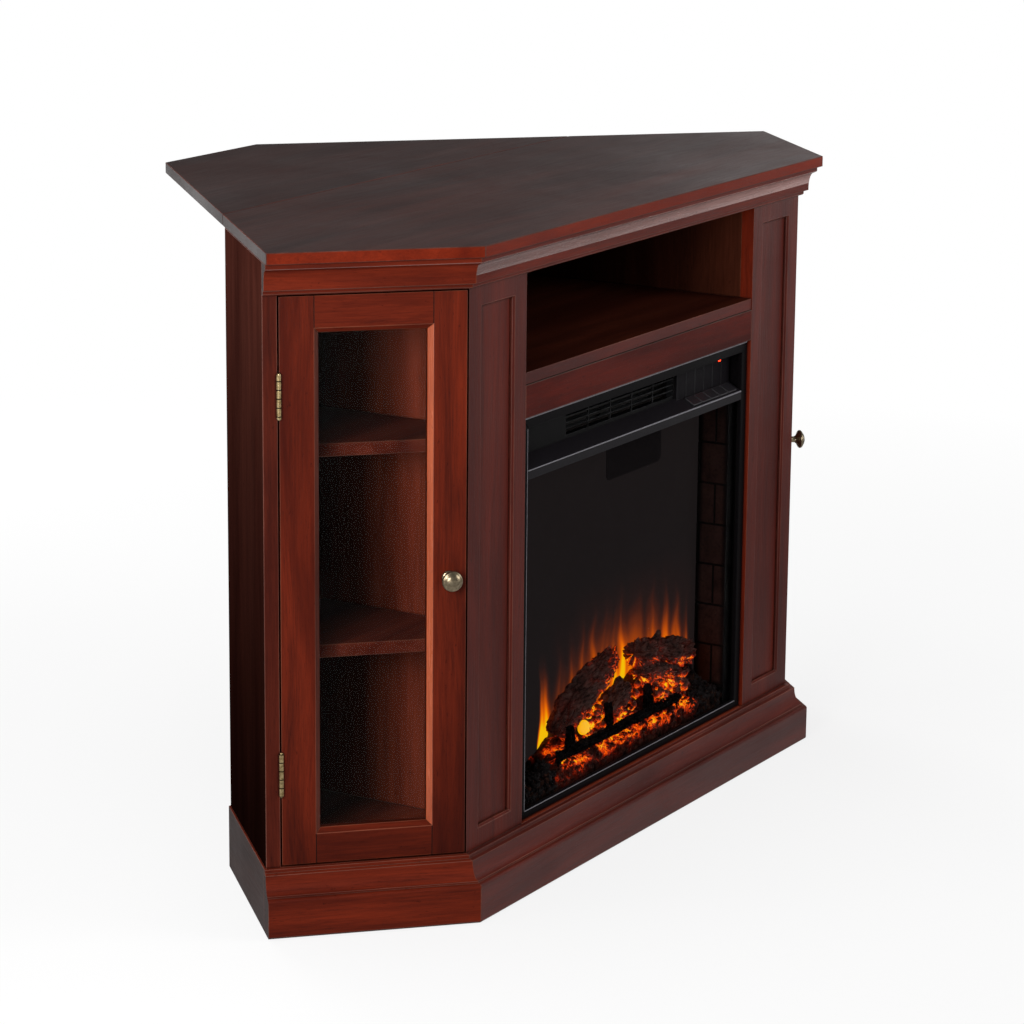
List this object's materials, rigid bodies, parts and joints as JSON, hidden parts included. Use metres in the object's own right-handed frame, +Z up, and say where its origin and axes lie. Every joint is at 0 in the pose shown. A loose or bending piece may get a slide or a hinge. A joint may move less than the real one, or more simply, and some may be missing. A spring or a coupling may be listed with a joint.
{
  "type": "corner electric fireplace cabinet",
  "caption": "Corner media cabinet with an electric fire, two glazed side doors, an open niche and a drop leaf at the back.",
  "frame": {"origin": "on the floor, at the middle of the outline's width and depth", "axes": "+Z up, -Y out of the fire's front, +X to the right seen from the front"},
  "size_m": [1.241, 0.6946, 0.819],
  "materials": {
    "top_wood": "satin dark cherry stain",
    "case_wood": "satin dark cherry stain",
    "door_wood": "satin dark cherry stain",
    "inner_wood": "satin dark cherry stain, plain inside",
    "back_board": "printed hardboard",
    "door_glass": "clear",
    "knob_metal": "aged pewter",
    "hinge_brass": "aged",
    "plain_steel": "zinc plated",
    "black_metal": "satin black",
    "fire_glass": "lightly smoked",
    "control_plastic": "black",
    "moulded_brick": "dark, moulded as bricks",
    "screen": "smoked screen lit from behind",
    "reflector": "bright strips",
    "circuit_board": "green",
    "embers": "translucent, lit from below",
    "charred_log": "charred, with glowing cracks",
    "coil_wire": "heat tinted"
  },
  "bodies": {
    "cabinet": {"top_board": "top_wood", "crown_moulding": "case_wood", "head_rails": "case_wood", "plinth_moulding": "case_wood", "side_panel_left": "case_wood", "side_panel_right": "case_wood", "pilaster_left": "case_wood", "pilaster_right": "case_wood", "partition_left": "inner_wood", "partition_right": "inner_wood", "back_panels": "back_board", "niche_floor": "inner_wood", "firebox_rail": "case_wood", "bottom_deck": "inner_wood", "shelves_left": "inner_wood", "shelves_right": "inner_wood", "shelf_pins": "hinge_brass", "door_hinge_plates": "hinge_brass", "door_catches": "plain_steel", "leaf_hinge_plates": "plain_steel", "leaf_stay_channels": "plain_steel", "insert_casing": "black_metal", "insert_frame": "black_metal", "insert_glass": "fire_glass", "outlet_grille": "black_metal", "hood_band": "black_metal", "control_panel": "control_plastic", "brick_walls": "moulded_brick", "flame_screen": "screen", "insert_motors": "plain_steel", "lamp_board": "circuit_board", "ember_bed": "embers", "log_set": "charred_log", "grate": "black_metal", "blower_housing": "plain_steel", "heating_coil": "coil_wire", "cord_gland": "control_plastic"},
    "left_door": {"left_door_stiles": "door_wood", "left_door_rails": "door_wood", "left_door_glass": "door_glass", "left_door_stops": "door_wood", "left_door_knob": "knob_metal", "left_door_fittings": "hinge_brass"},
    "right_door": {"right_door_stiles": "door_wood", "right_door_rails": "door_wood", "right_door_glass": "door_glass", "right_door_stops": "door_wood", "right_door_knob": "knob_metal", "right_door_fittings": "hinge_brass"},
    "rear_leaf": {"rear_leaf": "top_wood", "rear_leaf_hinges": "plain_steel", "rear_leaf_brackets": "plain_steel"},
    "leaf_stays": {"leaf_stay_arms": "plain_steel"},
    "button_1": {"button_1": "control_plastic"},
    "button_2": {"button_2": "control_plastic"},
    "button_3": {"button_3": "control_plastic"},
    "button_4": {"button_4": "control_plastic"},
    "button_5": {"button_5": "control_plastic"},
    "flicker_rod": {"flicker_rod": "reflector"},
    "blower_wheel": {"blower_wheel": "plain_steel"}
  },
  "joints": [
    {"name": "left_door_swing", "type": "hinge", "parent": "cabinet", "child": "left_door", "pos_m": [-0.58701, -0.16177, 0.421], "axis": [0, 0, -1], "range_deg": [0, 110]},
    {"name": "right_door_swing", "type": "hinge", "parent": "cabinet", "child": "right_door", "pos_m": [0.58701, -0.16177, 0.421], "axis": [0, 0, 1], "range_deg": [0, 110]},
    {"name": "leaf_fold", "type": "hinge", "parent": "cabinet", "child": "rear_leaf", "pos_m": [0, 0.03525, 0.802], "axis": [-1, 0, 0], "range_deg": [0, 90]},
    {"name": "leaf_stay_swing", "type": "hinge", "parent": "rear_leaf", "child": "leaf_stays", "pos_m": [0, 0.11525, 0.798], "axis": [1, 0, 0], "range_deg": [0, 119.63]},
    {"name": "button_1_press", "type": "slide", "parent": "cabinet", "child": "button_1", "axis": [0, 0.4802, -0.8771], "range_m": [0, 0.001], "stiffness_N_per_m": 600, "springref_m": -0.0003},
    {"name": "button_2_press", "type": "slide", "parent": "cabinet", "child": "button_2", "axis": [0, 0.4802, -0.8771], "range_m": [0, 0.001], "stiffness_N_per_m": 600, "springref_m": -0.0003},
    {"name": "button_3_press", "type": "slide", "parent": "cabinet", "child": "button_3", "axis": [0, 0.4802, -0.8771], "range_m": [0, 0.001], "stiffness_N_per_m": 600, "springref_m": -0.0003},
    {"name": "button_4_press", "type": "slide", "parent": "cabinet", "child": "button_4", "axis": [0, 0.4802, -0.8771], "range_m": [0, 0.001], "stiffness_N_per_m": 600, "springref_m": -0.0003},
    {"name": "button_5_press", "type": "slide", "parent": "cabinet", "child": "button_5", "axis": [0, 0.4802, -0.8771], "range_m": [0, 0.001], "stiffness_N_per_m": 600, "springref_m": -0.0003},
    {"name": "flicker_rod_spin", "type": "hinge", "parent": "cabinet", "child": "flicker_rod", "pos_m": [0, -0.22325, 0.15], "axis": [1, 0, 0], "continuous": true},
    {"name": "blower_spin", "type": "hinge", "parent": "cabinet", "child": "blower_wheel", "pos_m": [0, -0.24025, 0.544], "axis": [1, 0, 0], "continuous": true}
  ],
  "couplings": [
    {"joint": "leaf_stay_swing", "follows": "leaf_fold", "ratio": 1.329}
  ]
}
